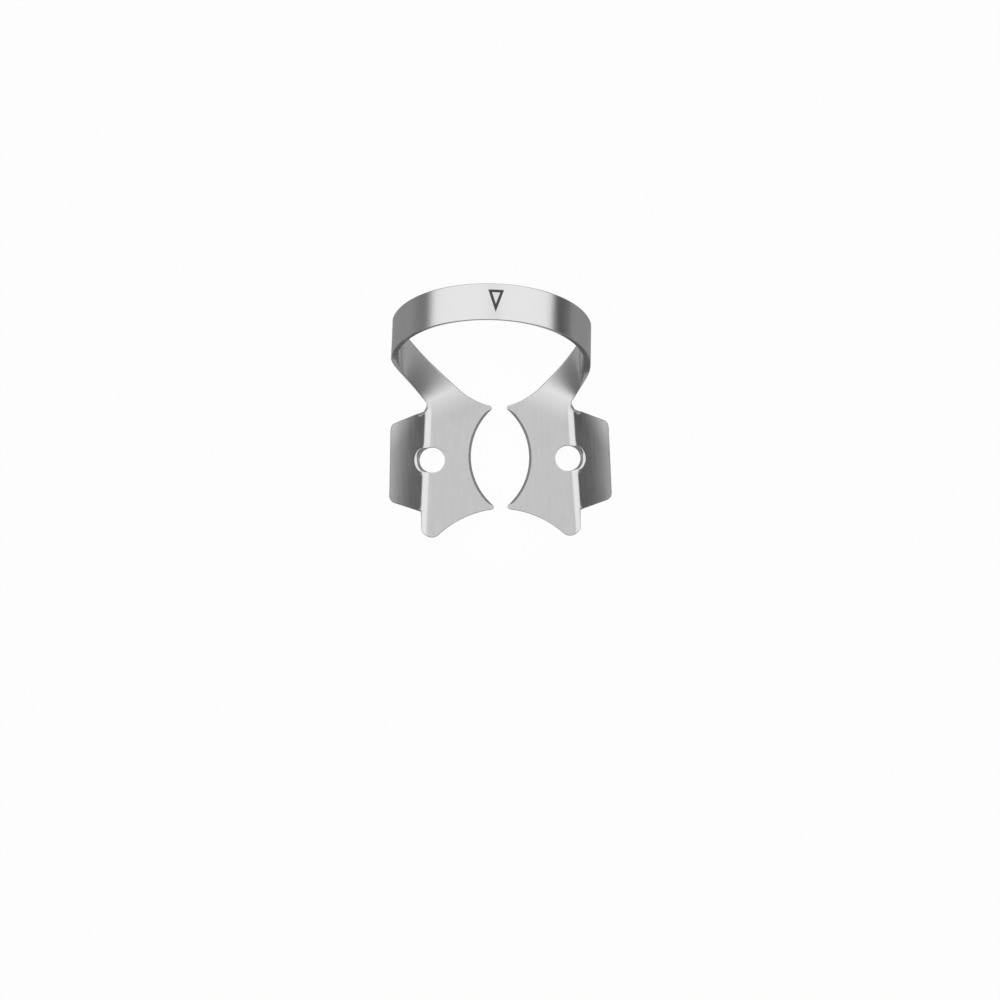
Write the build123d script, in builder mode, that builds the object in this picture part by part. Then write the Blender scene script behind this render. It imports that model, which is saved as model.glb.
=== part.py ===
import os
from math import cos, pi, radians, sin, tan

from build123d import *

# The clamp lies with its jaw plates flat: +X to its right, +Y to the bow, +Z up.
# The origin is midway between the jaws, halfway through the sheet.

# Sheet
sheet_thickness = 0.7
half_sheet = sheet_thickness / 2

# Jaws: the curved edges that grip the tooth, drawn for the right plate
jaw_reach = 3.3  # from the middle to the deepest point of a jaw
jaw_distal_gap = 1.8  # between the blunt tips of the two plates on the bow side
jaw_mesial_gap = 1.6  # and on the other side
jaw_distal_reach = 5.8  # from the origin to the ends of the tips on the bow side
jaw_mesial_reach = 5.85  # and to those on the other side
tip_width = 0.4
jaw_bevel = 0.25

# Plate edges away from the jaws
root_inner = Vector(4.58, 7.82)  # ends of the line where the bow's leg leaves the plate
root_outer = Vector(8.15, 6.2)
distal_hollow = 0.33  # depth of the hollow between the tip and the leg
mesial_hollow = 0.55  # depth of the hollow between the tip and the toe
toe_width = 1.8
toe_reach = 8.95  # from the origin to the end of the toe
toe_outer = 8.89  # from the middle to the toe's outer edge
toe_round_height = 0.8

# Wings, bent down along a line that runs slightly outwards
bend_start = 7.83  # from the middle to the start of the bend
bend_slant = 3.4
bend_angle = 32.0
bend_outside_radius = 1.5
wing_reach = 12.5  # from the middle to the wing's outer edge, seen from above
wing_distal_root = 5.2  # where the wing's sloping edges cross the toe's outer edge
wing_mesial_root = 6.05
wing_distal_slope = 21.0
wing_mesial_slope = 19.0
wing_corner_radius = 0.9
notch_step = 0.3  # how far the notch beside the leg stands out from the leg

# Forceps holes, punched through each plate at its bend
hole_radius = 1.45
hole_place = Vector(7.66, -0.2)
hole_lip = 0.12  # height of upright wall left at the wing, below the part that leans with it
lean_radius = 1.35

# Bow: half an ellipse that leans away from the jaws, on two legs that rise from the plates
bow_half_width = 10.93  # to the middle of the sheet
bow_rise = 9.4  # from the widest place to the top, along the lean
bow_lean = 29.3
bow_turn = -2.3  # the left side stands a little further from the jaws than the right
bow_side_distal = 10.78  # where the band's mesial edge is widest
bow_side_height = 4.4
bow_shift = -0.88  # the bow stands a little to the left of the jaws
band_width = 4.1
band_tilt = 3.7
band_lead = 7.6  # at its sides the band's distal edge is turned this much ahead

# The two edges of a leg leave the plate along these headings, counted from +Y
outer_edge_heading = 37.3
inner_edge_heading = 47.2
outer_edge_pull = (2.7, 1.8)  # at the plate and at the bow
inner_edge_pull = (3.8, 2.1)

sections_per_leg = 10
sections_per_quarter = 7

to_right = Vector(1, 0, 0).rotate(Axis.Z, bow_turn)
lean_direction = Vector(0, sin(radians(bow_lean)), cos(radians(bow_lean))).rotate(
    Axis.Z, bow_turn
)
band_across = Vector(0, cos(radians(band_tilt)), -sin(radians(band_tilt))).rotate(
    Axis.Z, bow_turn
)


def hollow_middle(start, end, depth):
    """The middle point of a shallow arc from start to end, to its left."""
    along = (end - start).normalized()
    return (start + end) / 2 + Vector(-along.Y, along.X) * depth


def arch_point(turn):
    """A point of the arch's mesial edge, from its left side (0) over the top to its right (pi)."""
    centre = Vector(bow_shift, bow_side_distal, bow_side_height)
    return (
        centre
        - to_right * (bow_half_width * cos(turn))
        + lean_direction * (bow_rise * sin(turn))
    )


def arch_heading(turn):
    """The direction of the arch's edge at the same place."""
    return (
        to_right * (bow_half_width * sin(turn)) + lean_direction * (bow_rise * cos(turn))
    ).normalized()


def distal_turn(turn):
    """Where the distal edge of the band is when its mesial edge is at the given turn."""
    return turn + radians(band_lead) * cos(turn) * abs(cos(turn))


def leg_edges(side):
    """The mesial and distal edges of one leg, from the plate up to the bow's widest place."""
    side_turn = 0 if side < 0 else pi
    edges = []
    for root, turn, rise_across, heading, pull in (
        (root_outer, side_turn, 0, outer_edge_heading, outer_edge_pull),
        (root_inner, distal_turn(side_turn), band_width, inner_edge_heading, inner_edge_pull),
    ):
        foot = Vector(side * root.X, root.Y)
        leaving = Vector(side * sin(radians(heading)), cos(radians(heading)))
        top = arch_point(turn) + band_across * rise_across
        arriving = arch_heading(turn) * -side
        edges.append(Bezier(foot, foot + leaving * pull[0], top - arriving * pull[1], top))
    return edges


def band_sections():
    """Pairs of points on the mesial and distal edges, from the left plate over to the right."""
    left_mesial, left_distal = leg_edges(-1)
    right_mesial, right_distal = leg_edges(1)
    pairs = []
    for i in range(sections_per_leg):
        u = i / sections_per_leg
        pairs.append((left_mesial @ u, left_distal @ u))
    for i in range(2 * sections_per_quarter + 1):
        turn = pi * i / (2 * sections_per_quarter)
        pairs.append((arch_point(turn), arch_point(distal_turn(turn)) + band_across * band_width))
    for i in range(1, sections_per_leg + 1):
        u = 1 - i / sections_per_leg
        pairs.append((right_mesial @ u, right_distal @ u))
    return pairs


# The right plate with its wing: a bent strip cut to the outline seen from above
bend_plane = Plane(
    origin=(bend_start, 0, 0),
    x_dir=(cos(radians(bend_slant)), sin(radians(bend_slant)), 0),
    z_dir=(sin(radians(bend_slant)), -cos(radians(bend_slant)), 0),
)
strip_reach = 2 * wing_reach
flange_down = Vector(cos(radians(bend_angle)), 0, -sin(radians(bend_angle)))
flange_up = Vector(sin(radians(bend_angle)), 0, cos(radians(bend_angle)))
bend_end = Vector(bend_start, 0, half_sheet - bend_outside_radius) + flange_up * bend_outside_radius
wing_rim = bend_end + flange_down * ((wing_reach - bend_end.X) / flange_down.X)
wing_end = Plane(origin=wing_rim, z_dir=flange_down)

# The hole's wall at the wing leans with the wing from a small height above its lower face
hole_side = hole_place + Vector(hole_radius, 0)
sheet_under_side = (
    bend_end
    - flange_up * sheet_thickness
    + flange_down * ((hole_side.X - bend_end.X + flange_up.X * sheet_thickness) / flange_down.X)
)
lip_top = Vector(hole_side.X, hole_side.Y, sheet_under_side.Z + hole_lip)
lean_plane = Plane(origin=lip_top - flange_down * lean_radius, z_dir=flange_up)

distal_tip = Vector(jaw_distal_gap / 2, jaw_distal_reach)
jaw_distal_end = distal_tip - Vector(0, tip_width)
mesial_tip = Vector(jaw_mesial_gap / 2, -jaw_mesial_reach)
jaw_mesial_end = mesial_tip + Vector(0, tip_width)
toe_outer_end = Vector(toe_outer, toe_round_height - toe_reach)
toe_inner_end = Vector(toe_outer - toe_width, toe_round_height / 3 - toe_reach)
toe_tip = Vector(toe_outer - toe_width / 2, -toe_reach)
notch = Vector(
    root_outer.X + notch_step,
    wing_distal_root + (toe_outer - root_outer.X - notch_step) * tan(radians(wing_distal_slope)),
)
blank_reach = wing_reach + sheet_thickness
wing_distal_corner = Vector(
    blank_reach, wing_distal_root - (blank_reach - toe_outer) * tan(radians(wing_distal_slope))
)
wing_mesial_corner = Vector(
    blank_reach, (blank_reach - toe_outer) * tan(radians(wing_mesial_slope)) - wing_mesial_root
)

with BuildPart() as right_half:
    with BuildSketch(bend_plane):
        with BuildLine():
            top = Line((-bend_start, half_sheet), (0, half_sheet))
            outside = JernArc(top @ 1, (1, 0), bend_outside_radius, -bend_angle)
            flange = Line(outside @ 1, outside @ 1 + (outside % 1) * strip_reach)
            flange_end = Line(
                flange @ 1, flange @ 1 + Vector((outside % 1).Y, -(outside % 1).X) * sheet_thickness
            )
            inside = JernArc(
                (0, -half_sheet), (1, 0), bend_outside_radius - sheet_thickness, -bend_angle
            )
            Line(flange_end @ 1, inside @ 1)
            bottom = Line((0, -half_sheet), (-bend_start, -half_sheet))
            Line(bottom @ 1, top @ 0)
        make_face()
    extrude(amount=2 * toe_reach, both=True)

    with BuildSketch():
        with BuildLine():
            ThreePointArc(
                distal_tip, hollow_middle(distal_tip, root_inner, -distal_hollow), root_inner
            )
            Polyline(
                root_inner,
                root_outer,
                notch,
                wing_distal_corner,
                wing_mesial_corner,
                (toe_outer, -wing_mesial_root),
                toe_outer_end,
            )
            ThreePointArc(toe_outer_end, toe_tip, toe_inner_end)
            ThreePointArc(
                toe_inner_end,
                hollow_middle(toe_inner_end, mesial_tip, -mesial_hollow),
                mesial_tip,
            )
            Line(mesial_tip, jaw_mesial_end)
            ThreePointArc(jaw_mesial_end, (jaw_reach, 0), jaw_distal_end)
            Line(jaw_distal_end, distal_tip)
        make_face()
    extrude(amount=wing_reach, both=True, mode=Mode.INTERSECT)
    split(bisect_by=wing_end, keep=Keep.BOTTOM)
    wing_tip = right_half.faces().sort_by(Axis.X)[-1]
    fillet(
        [edge for edge in wing_tip.edges() if edge.length < 2 * sheet_thickness],
        wing_corner_radius,
    )
    jaw_edge = right_half.edges().sort_by_distance((jaw_reach, 0, half_sheet))[0]
    chamfer(jaw_edge, jaw_bevel)

    with BuildSketch(Plane.XY.offset(-wing_reach)):
        with Locations(hole_place):
            Circle(hole_radius)
    extrude(amount=2 * wing_reach, mode=Mode.SUBTRACT)
    with BuildSketch(lean_plane):
        Circle(lean_radius)
    extrude(amount=2 * hole_radius, both=True, mode=Mode.SUBTRACT)

with BuildPart() as bow:
    pairs = band_sections()
    middles = [(mesial + distal) / 2 for mesial, distal in pairs]
    for i, (mesial, distal) in enumerate(pairs):
        ruling = (distal - mesial).normalized()
        before = middles[max(i - 1, 0)]
        after = middles[min(i + 1, len(pairs) - 1)]
        heading = after - before
        if i in (0, len(pairs) - 1):
            heading = Vector(heading.X, heading.Y)
        heading = (heading - ruling * heading.dot(ruling)).normalized()
        with BuildSketch(Plane(origin=middles[i], x_dir=ruling, z_dir=heading)):
            Rectangle((distal - mesial).length, sheet_thickness)
    loft()

with BuildPart() as clamp:
    add(right_half.part)
    mirror(about=Plane.YZ)
    add(bow.part)

clamp.part.label = "clamp"

os.makedirs("parts", exist_ok=True)
export_step(clamp.part, "parts/clamp.step")
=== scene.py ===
from bisect import bisect_right
from math import atan2, ceil, cos, dist, hypot, pi, radians, sin, tan

import bpy
from mathutils import Matrix, Vector
from mathutils.geometry import delaunay_2d_cdt


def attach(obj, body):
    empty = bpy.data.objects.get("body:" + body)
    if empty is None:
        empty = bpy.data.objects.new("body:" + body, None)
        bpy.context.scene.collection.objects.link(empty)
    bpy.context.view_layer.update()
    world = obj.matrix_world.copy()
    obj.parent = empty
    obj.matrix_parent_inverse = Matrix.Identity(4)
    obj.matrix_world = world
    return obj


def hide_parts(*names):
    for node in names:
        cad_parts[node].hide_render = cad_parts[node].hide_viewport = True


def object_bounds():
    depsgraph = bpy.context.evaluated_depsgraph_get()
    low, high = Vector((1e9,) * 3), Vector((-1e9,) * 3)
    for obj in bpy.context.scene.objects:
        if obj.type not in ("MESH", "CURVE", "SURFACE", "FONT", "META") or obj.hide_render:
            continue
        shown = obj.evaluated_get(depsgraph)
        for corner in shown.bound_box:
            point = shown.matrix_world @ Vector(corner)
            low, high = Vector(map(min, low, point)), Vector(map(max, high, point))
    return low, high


# A rubber dam clamp of spring steel, lying with its plates flat: +X to its right, +Y to the bow.
# Shapes are worked out in millimetres and scaled on the way into the mesh. One plate and wing are
# drawn and mirrored. The side of the bow is called distal here, and the other side mesial.

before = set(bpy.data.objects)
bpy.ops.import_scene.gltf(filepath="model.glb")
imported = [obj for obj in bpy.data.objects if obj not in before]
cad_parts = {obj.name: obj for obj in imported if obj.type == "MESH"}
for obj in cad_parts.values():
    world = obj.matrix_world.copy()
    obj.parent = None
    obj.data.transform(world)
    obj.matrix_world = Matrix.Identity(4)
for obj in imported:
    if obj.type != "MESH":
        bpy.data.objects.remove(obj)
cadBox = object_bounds()
mm = 0.001

sheet = {
    "thickness": 0.7,
    "edgeRound": 0.09,  # rounding left by tumbling on the cut edges
    "roundSteps": 3,
    "jawBevel": (0.27, 0.38),  # ground along the top of each jaw: its width and depth
    "bevelFade": (5.05, 5.56),  # distances from the origin between which it runs out at the tips
    "meshStep": 0.4,  # spacing of points on the flat parts
    "outlineStep": 0.2,  # and along the outlines
    "cornerStep": 0.12,  # and round their small corners
    "cornerSpare": 0.05,  # outline points closer than this to a rounded corner are left out
    "clearOfEdge": 0.33,  # no inner points closer than this to an outline
    "clearOfHole": 0.55,
    "mergeWithin": 0.000001,
    "mitreLimit": 0.35,  # keeps the rounding short in sharp corners
}
plate = {
    "jawReach": 3.3,
    "jawDistalPoint": (0.5, 5.76),
    "jawMesialPoint": (0.3, -5.82),
    "tipRound": 0.3,
    "rootInner": (4.58, 7.82),  # ends of the line where the leg leaves the plate
    "rootOuter": (8.15, 6.2),
    "distalHollow": 0.33,
    "mesialHollow": 0.62,
    "toeOuter": 8.89,
    "toeWidth": 1.8,
    "toeReach": 8.95,
    "toeRoundHeight": 0.8,
    "riseStart": 3.4,  # the plates start to lift gently this far before the leg
    "riseAtLeg": 0.155,
}
wing = {
    "bendStart": 7.93,
    "bendSlant": 3.4,
    "bendRadius": 1.15,  # at the middle of the sheet
    "bendRows": 8,
    "tiltAtBend": 36.4,
    "tiltAtRim": 31.4,
    "tiltEnd": 4.82,  # where it has the rim's tilt, measured along the sheet from the bend line
    "rim": 4.42,  # from the bend line to the outer edge, seen from above
    "rimSlant": -1.6,  # the rim is nearly upright beside the bend
    "spare": 1.0,  # the bent sheet is worked out this far past the rim
    "profileStep": 0.02,
    "bendEnds": (5.1, 6.18),  # the bend fades out towards the leg
    "distalRoot": 5.2,
    "mesialRoot": 6.05,
    "distalSlope": 21.0,
    "mesialSlope": 19.0,
    "cornerRadius": 0.9,
    "notchStep": 0.3,
}
hole = {
    "radius": 1.42,
    "place": (7.66, -0.2),
    "points": 56,
    "reach": 2.1,  # all points of its outline are nearer than this to its middle
    "roll": 0.3,  # its upper edge is rolled over on the wing
    "rollStart": (8.2, 8.8),  # from the clamp's middle, seen from above
}
sidePoint = 3  # a corner's sides are read from the outline points this many steps away


def portion(value, start, end):
    # how far a value has come on its way from start to end, from 0 to 1
    return min(1, max(0, (value - start) / (end - start)))


def arcThrough(start, middle, end, step=sheet["outlineStep"]):
    # points of the circle's arc through three points in a plane, both ends included
    (ax, ay), (bx, by), (cx, cy) = start, middle, end
    a, b, c = ax**2 + ay**2, bx**2 + by**2, cx**2 + cy**2
    d = 2 * (ax * (by - cy) + bx * (cy - ay) + cx * (ay - by))
    x = (a * (by - cy) + b * (cy - ay) + c * (ay - by)) / d
    y = (a * (cx - bx) + b * (ax - cx) + c * (bx - ax)) / d
    radius = hypot(ax - x, ay - y)
    first, halfway, last = (atan2(v - y, u - x) for u, v in (start, middle, end))
    turn = (last - first) % (2 * pi)
    if (halfway - first) % (2 * pi) > turn:
        turn -= 2 * pi
    count = max(2, ceil(abs(turn) * radius / step))
    angles = [first + turn * i / count for i in range(count + 1)]
    return [(x + radius * cos(a), y + radius * sin(a)) for a in angles]


def lineTo(start, end):
    count = max(1, ceil(dist(start, end) / sheet["outlineStep"]))
    return [
        (start[0] + (end[0] - start[0]) * i / count, start[1] + (end[1] - start[1]) * i / count)
        for i in range(count + 1)
    ]


def hollowMiddle(start, end, depth):
    # the middle of a shallow arc that lies to the left of the way from start to end
    length = dist(start, end)
    return (
        (start[0] + end[0]) / 2 - (end[1] - start[1]) / length * depth,
        (start[1] + end[1]) / 2 + (end[0] - start[0]) / length * depth,
    )


def roundCorner(before, corner, after, radius):
    # points of an arc that rounds the corner between two straight lines
    toBefore = (Vector(before) - Vector(corner)).normalized()
    toAfter = (Vector(after) - Vector(corner)).normalized()
    halfAngle = toBefore.angle(toAfter) / 2
    reach = radius / tan(halfAngle)
    centre = Vector(corner) + (toBefore + toAfter).normalized() * radius / sin(halfAngle)
    start = Vector(corner) + toBefore * reach
    end = Vector(corner) + toAfter * reach
    middle = centre + (Vector(corner) - centre).normalized() * radius
    return arcThrough(tuple(start), tuple(middle), tuple(end), sheet["cornerStep"])


def blunt(points, corner, radius):
    # the same outline with one of its corners rounded
    away = [dist(p, corner) for p in points]
    i = away.index(min(away))
    points = points[i:] + points[:i]
    arc = roundCorner(points[-sidePoint], corner, points[sidePoint], radius)
    clear = dist(arc[0], corner) + sheet["cornerSpare"]
    return arc + [p for p in points[1:] if dist(p, corner) > clear]


# The bent sheet. A point on the flat sheet is given by its distance across the bend line, to the
# wing's side, and its distance along that line.

slant = radians(wing["bendSlant"])
bendLength = wing["bendRadius"] * radians(wing["tiltAtBend"])


def bentProfile():
    # rows across the bend: distance on the sheet, reach seen from above, height, tilt
    rows = [(0.0, 0.0, 0.0, 0.0)]
    while rows[-1][1] < wing["rim"] + wing["spare"]:
        across, reach, height = rows[-1][:3]
        across += wing["profileStep"]
        if across < bendLength:
            tilt = radians(wing["tiltAtBend"]) * across / bendLength
        else:
            share = portion(across, bendLength, wing["tiltEnd"])
            tilt = radians(wing["tiltAtBend"] + (wing["tiltAtRim"] - wing["tiltAtBend"]) * share)
        reach += cos(tilt) * wing["profileStep"]
        height -= sin(tilt) * wing["profileStep"]
        rows.append((across, reach, height, tilt))
    return rows


profile = bentProfile()
profileColumns = list(zip(*profile))


def lookUp(value, column):
    # the profile's row where the given column reaches a value
    keys = profileColumns[column]
    i = min(max(bisect_right(keys, value) - 1, 0), len(keys) - 2)
    share = (value - keys[i]) / (keys[i + 1] - keys[i])
    return [a + (b - a) * share for a, b in zip(profile[i], profile[i + 1])]


def toSheet(point):
    # a point seen from above, as a point on the flat sheet
    x, y = point[0] - wing["bendStart"], point[1]
    across, along = x * cos(slant) + y * sin(slant), -x * sin(slant) + y * cos(slant)
    return (across if across <= 0 else lookUp(across, 1)[0], along)


def towardsLeg():
    # seen from above, at right angles to the line where the leg leaves the plate
    (x, y), (u, v) = plate["rootOuter"], plate["rootInner"]
    length = hypot(u - x, v - y)
    return ((v - y) / length, (x - u) / length)


def rise(x, y):
    # how far the plate lifts at a point seen from above, and how steeply
    ahead = towardsLeg()
    toLeg = (plate["rootOuter"][0] - x) * ahead[0] + (plate["rootOuter"][1] - y) * ahead[1]
    share = max(0, 1 - toLeg / plate["riseStart"])
    return plate["riseAtLeg"] * share**2, 2 * plate["riseAtLeg"] * share / plate["riseStart"]


def fromSheet(point):
    # a point on the flat sheet, in space once the sheet is bent
    across, along = point
    height = 0.0
    if across > 0:
        across, height = lookUp(across, 0)[1:3]
    x = wing["bendStart"] + across * cos(slant) - along * sin(slant)
    y = across * sin(slant) + along * cos(slant)
    fade = portion(y, *reversed(wing["bendEnds"]))
    return (x, y, height * fade * fade * (3 - 2 * fade) + rise(x, y)[0])


def sheetNormal(point, reach=0.01):
    # the sheet's own direction at a point, from two short steps on it
    across, along = point
    here = Vector(fromSheet(point))
    outward = Vector(fromSheet((across + reach, along))) - here
    forward = Vector(fromSheet((across, along + reach))) - here
    return outward.cross(forward).normalized()


# The right plate with its wing, on the flat sheet


def rootColumns():
    # points where the leg leaves the plate, from the outer to the inner edge
    outer, inner = Vector(plate["rootOuter"]), Vector(plate["rootInner"])
    return [tuple(outer.lerp(inner, i / bow["columns"])) for i in range(bow["columns"] + 1)]


def wingCorner(root, fall):
    # seen from above, where a sloping edge that starts at the root meets the line of the rim
    angle = slant + radians(wing["rimSlant"])
    toRim = wing["rim"] - (root[0] - wing["bendStart"]) * cos(angle) - root[1] * sin(angle)
    reach = toRim / (cos(angle) + fall * sin(angle))
    return (root[0] + reach, root[1] + fall * reach)


def plateOutline():
    # anticlockwise, from the place where the toe's outer edge meets the wing
    distal, mesial, inner = plate["jawDistalPoint"], plate["jawMesialPoint"], plate["rootInner"]
    toeOuterEnd = (plate["toeOuter"], plate["toeRoundHeight"] - plate["toeReach"])
    toeInnerEnd = (
        plate["toeOuter"] - plate["toeWidth"],
        plate["toeRoundHeight"] / 3 - plate["toeReach"],
    )
    toeTip = (plate["toeOuter"] - plate["toeWidth"] / 2, -plate["toeReach"])
    notchX = plate["rootOuter"][0] + wing["notchStep"]
    distalFall, mesialFall = tan(radians(wing["distalSlope"])), tan(radians(wing["mesialSlope"]))
    notch = (notchX, wing["distalRoot"] + (plate["toeOuter"] - notchX) * distalFall)
    wingRoot = (plate["toeOuter"], -wing["mesialRoot"])

    # the wing, whose sloping edges are kept up to where the rounding of its corners starts
    distalCorner, mesialCorner = wingCorner(notch, -distalFall), wingCorner(wingRoot, mesialFall)
    flatDistal, flatMesial = toSheet(distalCorner), toSheet(mesialCorner)
    radius, spare = wing["cornerRadius"], sheet["cornerSpare"]
    lowerEdge = [toSheet(p) for p in lineTo(wingRoot, mesialCorner)[:-1]]
    lower = roundCorner(lowerEdge[-sidePoint], flatMesial, flatDistal, radius)
    upperEdge = [toSheet(p) for p in lineTo(distalCorner, notch)]
    upper = roundCorner(flatMesial, flatDistal, upperEdge[sidePoint], radius)
    points = [p for p in lowerEdge if p[0] < lower[0][0] - spare] + lower
    points += lineTo(lower[-1], upper[0])[1:-1] + upper
    points += [p for p in upperEdge if p[0] < upper[-1][0] - spare]

    # the notch, the line of the leg, the jaw between its two tips, and the toe
    distalMiddle = hollowMiddle(distal, inner, -plate["distalHollow"])
    mesialMiddle = hollowMiddle(toeInnerEnd, mesial, -plate["mesialHollow"])
    stretches = [
        lineTo(notch, plate["rootOuter"])[1:-1],
        rootColumns(),
        arcThrough(inner, distalMiddle, distal)[1:],
        arcThrough(distal, (plate["jawReach"], 0), mesial)[1:],
        arcThrough(mesial, mesialMiddle, toeInnerEnd)[1:],
        arcThrough(toeInnerEnd, toeTip, toeOuterEnd, sheet["cornerStep"])[1:],
        lineTo(toeOuterEnd, wingRoot)[1:-1],
    ]
    points += [toSheet(p) for stretch in stretches for p in stretch]
    for tip in (distal, mesial):
        points = blunt(points, toSheet(tip), plate["tipRound"])
    return points


def holeOutline():
    # round from above, and longer on the wing, where it was punched before the sheet was bent
    points = []
    for i in range(hole["points"]):
        turn = 2 * pi * i / hole["points"]
        x = hole["place"][0] + hole["radius"] * cos(turn)
        y = hole["place"][1] + hole["radius"] * sin(turn)
        across = (x - wing["bendStart"]) * cos(slant) + y * sin(slant)
        if across > 0:
            x += sheet["thickness"] / 2 * sin(lookUp(across, 1)[3])
        points.append(toSheet((x, y)))
    return points


def inside(point, outline):
    x, y = point
    found = False
    for (ax, ay), (bx, by) in zip(outline, outline[1:] + outline[:1]):
        if (ay > y) != (by > y) and x < ax + (y - ay) * (bx - ax) / (by - ay):
            found = not found
    return found


def distanceTo(point, outline):
    nearest = []
    for a, b in zip(outline, outline[1:] + outline[:1]):
        dx, dy = b[0] - a[0], b[1] - a[1]
        t = ((point[0] - a[0]) * dx + (point[1] - a[1]) * dy) / (dx * dx + dy * dy)
        t = min(1, max(0, t))
        nearest.append(hypot(point[0] - a[0] - t * dx, point[1] - a[1] - t * dy))
    return min(nearest)


def innerPoints(outline, opening):
    # a grid over the flat sheet, with close rows round the bend
    step = sheet["meshStep"]
    rows = [bendLength * i / wing["bendRows"] for i in range(wing["bendRows"] + 1)]
    rows += [bendLength + step * i for i in range(1, ceil(profile[-1][0] / step))]
    rows += [-step * i for i in range(1, ceil(wing["bendStart"] / step) + 1)]
    count = ceil(2 * plate["toeReach"] / step)
    columns = [-plate["toeReach"] + 2 * plate["toeReach"] * i / count for i in range(count + 1)]
    points = []
    for point in ((across, along) for across in rows for along in columns):
        if not inside(point, outline) or inside(point, opening):
            continue
        if distanceTo(point, outline) <= sheet["clearOfEdge"]:
            continue
        if distanceTo(point, opening) > sheet["clearOfHole"]:
            points.append(point)
    return points


def plateMesh():
    # triangles over the right plate and wing: their points in space, directions and faces
    outline, opening = plateOutline(), holeOutline()
    flat = outline + opening + innerPoints(outline, opening)
    n, m = len(outline), len(opening)
    edges = [(i, (i + 1) % n) for i in range(n)]
    edges += [(n + i, n + (i + 1) % m) for i in range(m)]
    found = delaunay_2d_cdt([Vector(p) for p in flat], edges, [], 0, sheet["mergeWithin"])

    def onPlate(face):
        # a triangle with all its corners on one ring is told by the order of its corners
        given = [found[3][i][0] for i in face]
        rising = sum(b < a for a, b in zip(given, given[1:] + given[:1])) == 1
        if max(given) < n:
            return rising
        return not (min(given) >= n and max(given) < n + m and rising)

    faces = [face for face in found[2] if onPlate(face)]
    points = [tuple(v) for v in found[0]]
    return [Vector(fromSheet(p)) for p in points], [sheetNormal(p) for p in points], faces


# The bow and its legs: rows of points across one band, ruled from its mesial to its distal edge

bow = {
    "halfWidth": 10.93,
    "rise": 9.4,
    "lean": 29.3,
    "turn": -2.3,  # its left side stands a little further back
    "sideDistal": 10.78,
    "sideHeight": 4.4,
    "shift": -0.88,
    "bandWidth": 4.1,
    "bandTilt": 3.7,
    "bandLead": 7.6,  # how far the distal edge is ahead of the mesial one at the sides
    # each edge of a leg: its heading from +Y at the plate, its pull there and its pull at the bow
    "outerEdge": (37.3, 2.7, 1.8),
    "innerEdge": (47.2, 3.8, 2.1),
    "legRows": 44,
    "archRows": 120,
    "columns": 10,
}
bowTurn = Matrix.Rotation(radians(bow["turn"]), 3, "Z")
toRight = bowTurn @ Vector((1, 0, 0))
leanDirection = bowTurn @ Vector((0, sin(radians(bow["lean"])), cos(radians(bow["lean"]))))
bandAcross = bowTurn @ Vector((0, cos(radians(bow["bandTilt"])), -sin(radians(bow["bandTilt"]))))


def bezier(a, b, c, d, t):
    return a * (1 - t) ** 3 + b * 3 * t * (1 - t) ** 2 + c * 3 * t * t * (1 - t) + d * t**3


def archPoint(turn):
    # on the mesial edge, from the left side (0) over the top to the right side (pi)
    middle = Vector((bow["shift"], bow["sideDistal"], bow["sideHeight"]))
    return middle - toRight * bow["halfWidth"] * cos(turn) + leanDirection * bow["rise"] * sin(turn)


def archHeading(turn):
    heading = toRight * bow["halfWidth"] * sin(turn) + leanDirection * bow["rise"] * cos(turn)
    return heading.normalized()


def distalTurn(turn):
    # where the distal edge is when the mesial one is at the given turn
    return turn + radians(bow["bandLead"]) * cos(turn) * abs(cos(turn))


def archRow(turn):
    return [archPoint(turn), archPoint(distalTurn(turn)) + bandAcross * bow["bandWidth"]]


def legRow(side, t):
    # the outer and inner points of a leg, from the plate (0) up to the bow (1)
    sideTurn = 0 if side < 0 else pi
    outer = (plate["rootOuter"], sideTurn, 0, *bow["outerEdge"])
    inner = (plate["rootInner"], distalTurn(sideTurn), bow["bandWidth"], *bow["innerEdge"])
    ahead = towardsLeg()
    ends = []
    for root, turn, lift, heading, footPull, topPull in (outer, inner):
        top = archPoint(turn) + bandAcross * lift
        rising = archHeading(turn) * -side
        height, steepness = rise(*root)
        foot = Vector((side * root[0], root[1], height))
        away = (sin(radians(heading)), cos(radians(heading)))
        slope = steepness * (away[0] * ahead[0] + away[1] * ahead[1])
        leaving = Vector((side * away[0], away[1], slope))
        ends.append(bezier(foot, foot + leaving * footPull, top - rising * topPull, top, t))
    return ends


def bowRows():
    # from the left plate over the top to the right plate
    legs, arch, columns = bow["legRows"], bow["archRows"], bow["columns"]
    ends = [legRow(-1, i / legs) for i in range(legs)]
    ends += [archRow(pi * i / arch) for i in range(arch + 1)]
    ends += [legRow(1, 1 - i / legs) for i in range(1, legs + 1)]
    return [[a.lerp(b, i / columns) for i in range(columns + 1)] for a, b in ends]


# The clamp: one surface in the middle of the sheet, then both faces and the cut edges round it


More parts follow.
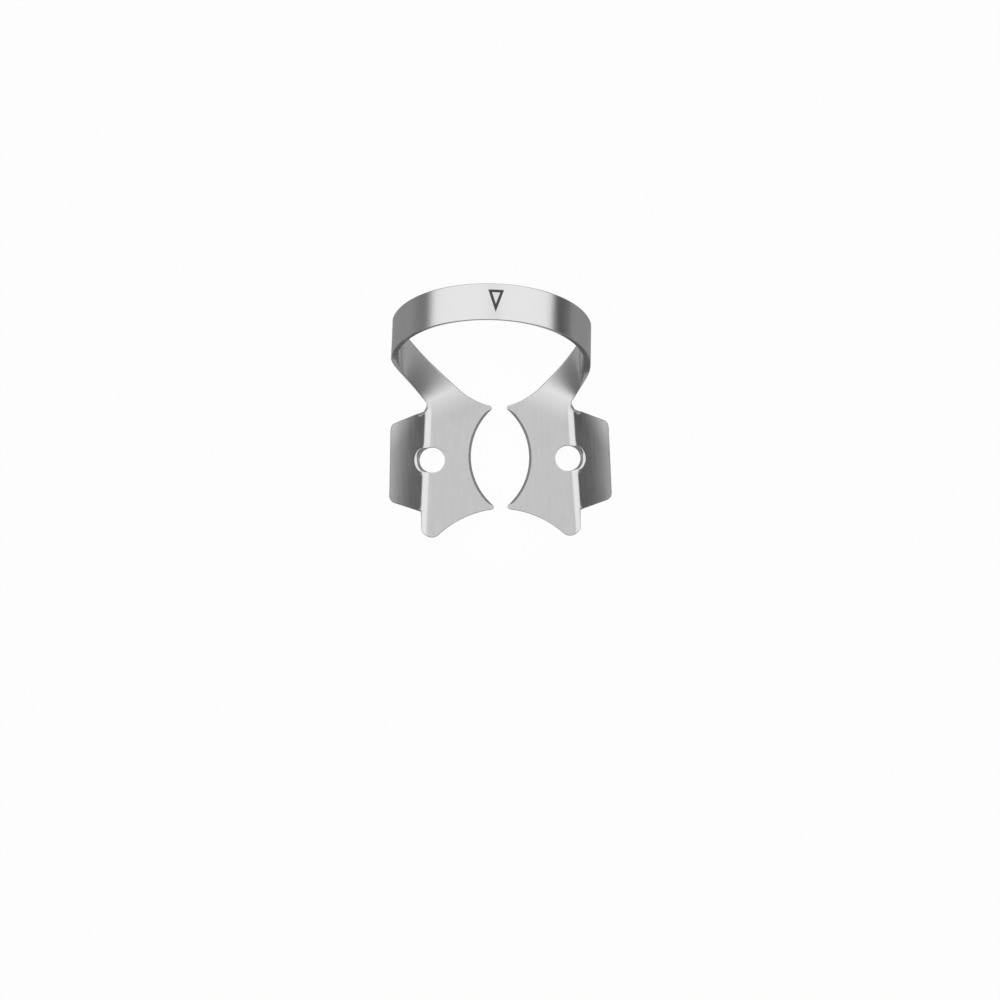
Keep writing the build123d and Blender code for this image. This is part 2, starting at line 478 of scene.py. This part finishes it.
def middleSurface():
    points, normals, faces = [], [], []
    platePoints, plateNormals, plateFaces = plateMesh()
    for side in (1, -1):
        start = len(points)
        points += [Vector((side * v.x, v.y, v.z)) for v in platePoints]
        normals += [Vector((side * n.x, n.y, n.z)) for n in plateNormals]
        for face in plateFaces:
            faces.append([start + i for i in (face if side > 0 else reversed(face))])
    plateCount = len(points)

    rows = bowRows()
    last = len(rows) - 1
    index = []
    for r, row in enumerate(rows):
        ahead = [b - a for a, b in zip(rows[max(r - 1, 0)], rows[min(r + 1, last)])]
        across = row[-1] - row[0]
        ids = []
        for c, point in enumerate(row):
            if r in (0, last):
                # the leg starts on points that the plate already has
                ids.append(min(range(plateCount), key=lambda i: (points[i] - point).length))
                continue
            ids.append(len(points))
            points.append(point)
            normals.append(across.cross(ahead[c]).normalized())
        index.append(ids)
    for r in range(last):
        for c in range(bow["columns"]):
            faces.append([index[r][c], index[r][c + 1], index[r + 1][c + 1], index[r + 1][c]])
    return points, normals, faces


def edgeShape(point):
    # how much of the jaws' bevel an outline has at a point, and how its upper edge is rounded there
    fromOrigin = hypot(point.x, point.y)
    ground = portion(fromOrigin, *reversed(sheet["bevelFade"]))
    rounding = sheet["edgeRound"]
    if dist((abs(point.x), point.y), hole["place"]) < hole["reach"]:
        rounding += (hole["roll"] - rounding) * portion(abs(point.x), *hole["rollStart"])
    return ground, rounding


def rimProfile(ground, rounding):
    # steps round the cut edge, from the upper face to the lower one: each has two places, as the
    # distance in from the outline and the height, and the directions that it faces at them;
    # ground goes from 0, where the upper corner is only rounded, to 1, where it has the bevel
    half, count = sheet["thickness"] / 2, sheet["roundSteps"]
    width, depth = sheet["jawBevel"]
    lean = atan2(depth, width)

    def corner(r):
        turns = [pi / 2 * i / count for i in range(count + 1)]
        return [(r * (1 - sin(a)), half - r * (1 - cos(a)), a) for a in turns]

    upper = []
    for i, rounded in enumerate(corner(rounding)):
        bevelled = (width * (1 - i / count), half - depth * i / count, lean)
        upper.append(tuple(a + (b - a) * ground for a, b in zip(rounded, bevelled)))
    lower = [(inset, -height, pi - a) for inset, height, a in corner(sheet["edgeRound"])[::-1]]
    wall = (upper[-1][:2] + (pi / 2,), lower[0][:2] + (pi / 2,))
    steps = list(zip(upper, upper[1:])) + [wall] + list(zip(lower, lower[1:]))
    return [(a[:2], b[:2], a[2], b[2]) for a, b in steps]


def cutEdges(points, normals, border):
    # for each point of the outlines, its places round the cut edge and the directions there
    before = {b: a for a, b in border.items()}

    def inward(a, b):
        return normals[a].cross(points[b] - points[a]).normalized()

    rings = {}
    for v in border:
        one, other = inward(before[v], v), inward(v, border[v])
        into = (one + other) / max(sheet["mitreLimit"], 1 + one.dot(other))
        out = -into.normalized()
        steps = rimProfile(*edgeShape(points[v]))
        stations = [steps[0][0]] + [step[1] for step in steps]
        places = [points[v] + into * inset + normals[v] * height for inset, height in stations]
        turns = [[normals[v] * cos(a) + out * sin(a) for a in step[2:]] for step in steps]
        rings[v] = (places, turns)
    return rings


def clampMesh():
    points, normals, faces = middleSurface()
    half = sheet["thickness"] / 2
    used = {(a, b) for face in faces for a, b in zip(face, face[1:] + face[:1])}
    border = {a: b for a, b in used if (b, a) not in used}
    rings = cutEdges(points, normals, border)

    verts, skin = [], []
    for v, point in enumerate(points):
        own = [point + normals[v] * half, point - normals[v] * half]
        if v in rings:
            own = rings[v][0]
        skin.append(range(len(verts), len(verts) + len(own)))
        verts += own
    solid, looks = [], []
    for face in faces:
        solid += [[skin[v][0] for v in face], [skin[v][-1] for v in reversed(face)]]
        looks += [normals[v] for v in face] + [-normals[v] for v in reversed(face)]
    for a, b in border.items():
        for k, (turnA, turnB) in enumerate(zip(rings[a][1], rings[b][1])):
            solid.append([skin[b][k], skin[a][k], skin[a][k + 1], skin[b][k + 1]])
            looks += [turnB[0], turnA[0], turnA[1], turnB[1]]

    mesh = bpy.data.meshes.new("steelClamp")
    mesh.from_pydata([v * mm for v in verts], [], solid)
    mesh.polygons.foreach_set("use_smooth", [True] * len(solid))
    mesh.normals_split_custom_set(looks)
    return mesh


# Small helpers for objects and materials, and the steel


def addObject(name, data):
    made = bpy.data.objects.new(name, data)
    bpy.context.scene.collection.objects.link(made)
    return made


def node(tree, kind, **settings):
    made = tree.nodes.new(kind)
    for name, value in settings.items():
        if name in made.inputs:
            made.inputs[name].default_value = value
        else:
            setattr(made, name, value)
    return made


def maths(tree, kind, *values):
    # each value is a number or the output of another node
    made = node(tree, "ShaderNodeMath", operation=kind)
    for socket, value in zip(made.inputs, values):
        if isinstance(value, (int, float)):
            socket.default_value = value
        else:
            tree.links.new(value, socket)
    return made.outputs[0]


def spread(tree, value, span, levels=(0.0, 1.0), kind="SMOOTHSTEP"):
    # from the first level to the second while the value crosses the span
    made = node(tree, "ShaderNodeMapRange", interpolation_type=kind)
    tree.links.new(value, made.inputs["Value"])
    made.inputs["From Min"].default_value, made.inputs["From Max"].default_value = span
    made.inputs["To Min"].default_value, made.inputs["To Max"].default_value = levels
    return made.outputs["Result"]


def blend(tree, low, high, share):
    difference = maths(tree, "SUBTRACT", high, low)
    return maths(tree, "ADD", low, maths(tree, "MULTIPLY", share, difference))


steel = {
    "colour": (0.56, 0.56, 0.56, 1),
    "roughness": (0.197, 0.223),
    "grainStretch": (2600, 300, 2600),  # the sheet was ground along Y
    "grainDepth": 0.0000006,
    "grainDetail": 4.0,
    "grainFineness": 0.6,
    "grainSpan": (0.3, 0.7),  # the part of the noise that the roughness is spread over
}


def steelMaterial():
    material = bpy.data.materials.new("satinSteel")
    material.use_nodes = True
    tree = material.node_tree
    shader = tree.nodes["Principled BSDF"]
    shader.inputs["Metallic"].default_value = 1
    shader.inputs["Base Color"].default_value = steel["colour"]
    place = node(tree, "ShaderNodeTexCoord")
    stretch = node(tree, "ShaderNodeMapping", Scale=steel["grainStretch"])
    grain = node(
        tree,
        "ShaderNodeTexNoise",
        Scale=1.0,
        Detail=steel["grainDetail"],
        Roughness=steel["grainFineness"],
    )
    tree.links.new(place.outputs["Object"], stretch.inputs["Vector"])
    tree.links.new(stretch.outputs["Vector"], grain.inputs["Vector"])
    height = grain.outputs["Fac"]
    roughness = spread(tree, height, steel["grainSpan"], steel["roughness"], "LINEAR")
    bump = node(tree, "ShaderNodeBump", Distance=steel["grainDepth"], Strength=1.0)
    tree.links.new(roughness, shader.inputs["Roughness"])
    tree.links.new(height, bump.inputs["Height"])
    tree.links.new(bump.outputs["Normal"], shader.inputs["Normal"])
    return material


clamp = addObject("steelClamp", clampMesh())
clamp.data.materials.append(steelMaterial())
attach(clamp, "root")
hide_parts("clamp")
print("clamp made")

# The mark etched into the bow, a plain triangle

mark = {
    "width": 1.75,
    "height": 2.5,
    "stroke": 0.3,
    "place": (0.39, 0.1),  # along the bow from its top, and across the band from its middle
    "proud": 0.008,
    "sunk": 0.05,
    "steps": 10,
    "colour": (0.055, 0.055, 0.06, 1),
    "metallic": 0.3,
    "roughness": 0.7,
}


def onBow(along, across, step=0.001):
    # a point in the middle of the bow's sheet, counted from the middle of the band at the top of
    # the bow, and the direction that its outer face has there
    turn = pi / 2 + along / bow["halfWidth"]
    mesial, distal = archRow(turn)
    nextMesial, nextDistal = archRow(turn + step)
    share = 0.5 + across / bow["bandWidth"]
    point = mesial.lerp(distal, share)
    ahead = nextMesial.lerp(nextDistal, share) - point
    outward = (distal - mesial).cross(ahead).normalized()
    return point, outward if outward.z > 0 else -outward


def markMesh():
    # a closed ring with three corners, laid into the outer face
    wide, tall = mark["width"] / 2, mark["height"] / 2
    corners = [Vector((-wide, tall)), Vector((wide, tall)), Vector((0, -tall))]
    sides = [(b - a).length for a, b in zip(corners, corners[1:] + corners[:1])]
    opposite = sides[1:] + sides[:1]
    middle = sum((c * s for c, s in zip(corners, opposite)), Vector((0, 0))) / sum(sides)
    inRadius = mark["width"] * mark["height"] / sum(sides)
    shrink = 1 - mark["stroke"] / inRadius
    verts, faces = [], []
    for start, end in zip(corners, corners[1:] + corners[:1]):
        for k in range(mark["steps"]):
            outer = start.lerp(end, k / mark["steps"])
            inner = middle + (outer - middle) * shrink
            for flat in (outer, inner):
                point, outward = onBow(flat.x + mark["place"][0], flat.y + mark["place"][1])
                surface = point + outward * sheet["thickness"] / 2
                verts += [surface + outward * mark["proud"], surface - outward * mark["sunk"]]
    for a in range(0, len(verts), 4):
        b = (a + 4) % len(verts)
        for one, other in ((0, 2), (2, 3), (3, 1), (1, 0)):
            faces.append([a + one, a + other, b + other, b + one])
    mesh = bpy.data.meshes.new("etchedMark")
    mesh.from_pydata([v * mm for v in verts], [], faces)
    return mesh


def etchedMaterial():
    material = bpy.data.materials.new("etchedSteel")
    material.use_nodes = True
    shader = material.node_tree.nodes["Principled BSDF"]
    shader.inputs["Base Color"].default_value = mark["colour"]
    shader.inputs["Metallic"].default_value = mark["metallic"]
    shader.inputs["Roughness"].default_value = mark["roughness"]
    return material


etchedMark = addObject("etchedMark", markMesh())
etchedMark.data.materials.append(etchedMaterial())
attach(etchedMark, "root")
print("mark made")

# Light, floor and camera. The light is a soft box overhead, seen in the steel, with a dark gap
# between it and the walls. Angles are counted from overhead, and other spans are parts of the
# direction in which the light comes.

studio = {
    "bright": 1.41,
    "leftEdge": (-67.5, -57.0),  # degrees between which the soft box starts on the left
    "rightEdge": (58.3, 65.3),
    "mesialEdge": (-33, -10),
    "mesialSkew": 7.5,  # it reaches this much further to the mesial side on the left
    "skewSpan": (-0.4, 0.2),
    "spotMiddle": (0.03, -0.015),  # a darker place in the soft box, overhead
    "spotSize": (2, 10.5),
    "spotLevel": 0.44,
    "gap": (0.02, 0.3),  # its level beside the clamp and behind it
    "gapFade": (0.07, 0.13),
    "gapEnds": (70, 87),
    "walls": (0.34, 0.24),  # on the clamp's left and right
    "wallSpan": (-0.3, 0.3),
    "front": (0.25, 0.56),  # low and high on the side of the jaws
    "frontFade": (-0.52, -0.4),
    "frontStart": (-0.25, -0.12),
    "floorSize": 3,  # metres from its middle to its edges
    "floorGap": 0.02,
    "floorPaintedLight": (0.75, 0.34),  # painted pool of light on the floor: its colour below the clamp and further out, as the steel sees it
    # millimetres from the clamp's middle between which the painted pool of light fades out
    "paintedLightReach": (7, 18),
    "floorWhite": 0.97,  # how much of a plain white glow the camera sees
    "floorInSteel": 0.1,  # and the steel, compared with the camera
}


def inRadians(degrees):
    return [radians(a) for a in degrees]


def worldLight():
    world = bpy.data.worlds.new("softbox")
    bpy.context.scene.world = world
    world.use_nodes = True
    tree = world.node_tree
    back = tree.nodes["Background"]
    place = node(tree, "ShaderNodeTexCoord")
    parts = node(tree, "ShaderNodeSeparateXYZ")
    tree.links.new(place.outputs["Generated"], parts.inputs[0])
    x, y, z = parts.outputs
    sideways = maths(tree, "ARCTAN2", x, z)
    skew = spread(tree, x, studio["skewSpan"], (radians(studio["mesialSkew"]), 0.0))
    distally = maths(tree, "ADD", maths(tree, "ARCTAN2", y, z), skew)

    fromLeft = spread(tree, sideways, inRadians(studio["leftEdge"]))
    fromRight = spread(tree, sideways, inRadians(studio["rightEdge"]), (1.0, 0.0))
    fromMesial = spread(tree, distally, inRadians(studio["mesialEdge"]))
    inBox = maths(tree, "MULTIPLY", maths(tree, "MULTIPLY", fromLeft, fromRight), fromMesial)

    offX, offY = (maths(tree, "SUBTRACT", v, c) for v, c in zip((x, y), studio["spotMiddle"]))
    squares = maths(tree, "ADD", maths(tree, "POWER", offX, 2.0), maths(tree, "POWER", offY, 2.0))
    spotSpan = [sin(a) for a in inRadians(studio["spotSize"])]
    spot = spread(tree, maths(tree, "SQRT", squares), spotSpan, (studio["spotLevel"], 1.0))

    walls = spread(tree, x, studio["wallSpan"], studio["walls"])
    toWall = spread(tree, maths(tree, "ABSOLUTE", sideways), inRadians(studio["gapEnds"]))
    gap = spread(tree, y, studio["gapFade"], studio["gap"])
    onJawSide = spread(tree, y, studio["frontStart"], (1.0, 0.0))
    front = maths(tree, "MULTIPLY", onJawSide, spread(tree, y, studio["frontFade"], studio["front"]))
    low = maths(tree, "MAXIMUM", blend(tree, gap, walls, toWall), front)
    level = blend(tree, low, maths(tree, "MULTIPLY", spot, studio["bright"]), inBox)

    path = node(tree, "ShaderNodeLightPath")
    shown = blend(tree, level, 1.0, path.outputs["Is Camera Ray"])
    tree.links.new(shown, back.inputs["Strength"])
    back.inputs["Color"].default_value = (1, 1, 1, 1)


def floorMaterial():
    # white for the camera; the steel sees a floor with a painted pool of light, brighter beneath the
    # clamp and darker further out
    material = bpy.data.materials.new("paleFloor")
    material.use_nodes = True
    tree = material.node_tree
    tree.nodes.clear()
    place = node(tree, "ShaderNodeTexCoord")
    away = node(tree, "ShaderNodeVectorMath", operation="LENGTH")
    tree.links.new(place.outputs["Object"], away.inputs[0])
    reach = [r * mm for r in studio["paintedLightReach"]]
    plain = node(tree, "ShaderNodeBsdfDiffuse")
    # painted pool of light: the floor's colour is brighter beneath the clamp and darker further out,
    # for the steel to reflect
    colour = spread(tree, away.outputs["Value"], reach, studio["floorPaintedLight"])
    tree.links.new(colour, plain.inputs["Color"])

    path = node(tree, "ShaderNodeLightPath")
    inSteel = maths(tree, "MULTIPLY", path.outputs["Is Glossy Ray"], studio["floorInSteel"])
    seen = maths(tree, "ADD", inSteel, path.outputs["Is Camera Ray"])
    seen = maths(tree, "MAXIMUM", seen, path.outputs["Is Transmission Ray"])
    glow = node(tree, "ShaderNodeEmission", Strength=1.0)
    mix = node(tree, "ShaderNodeMixShader")
    out = node(tree, "ShaderNodeOutputMaterial")
    tree.links.new(maths(tree, "MULTIPLY", seen, studio["floorWhite"]), mix.inputs[0])
    tree.links.new(plain.outputs[0], mix.inputs[1])
    tree.links.new(glow.outputs[0], mix.inputs[2])
    tree.links.new(mix.outputs[0], out.inputs["Surface"])
    return material


def makeFloor():
    size, height = studio["floorSize"], cadBox[0].z - studio["floorGap"] * mm
    corners = [(-size, -size), (size, -size), (size, size), (-size, size)]
    mesh = bpy.data.meshes.new("floor")
    mesh.from_pydata([(x, y, height) for x, y in corners], [], [range(len(corners))])
    mesh.materials.append(floorMaterial())
    addObject("floor", mesh)


view = {
    "distance": 1200,
    "frameWidth": 113.3,
    "aim": (-0.067, -4.8145),
    "roll": -0.8,
    "sensor": 36,
    "clip": (0.01, 20),  # metres
}


def makeCamera():
    data = bpy.data.cameras.new("camera")
    data.sensor_width = view["sensor"]
    data.lens = view["sensor"] * view["distance"] / view["frameWidth"]
    data.clip_start, data.clip_end = view["clip"]
    camera = addObject("camera", data)
    camera.location = Vector((*view["aim"], view["distance"])) * mm
    camera.rotation_euler.z = radians(view["roll"])
    bpy.context.scene.camera = camera


worldLight()
makeFloor()
makeCamera()
bpy.context.scene.view_settings.view_transform = "Standard"
print("studio made")

print("cad", [tuple(round(v / mm, 3) for v in c) for c in cadBox])
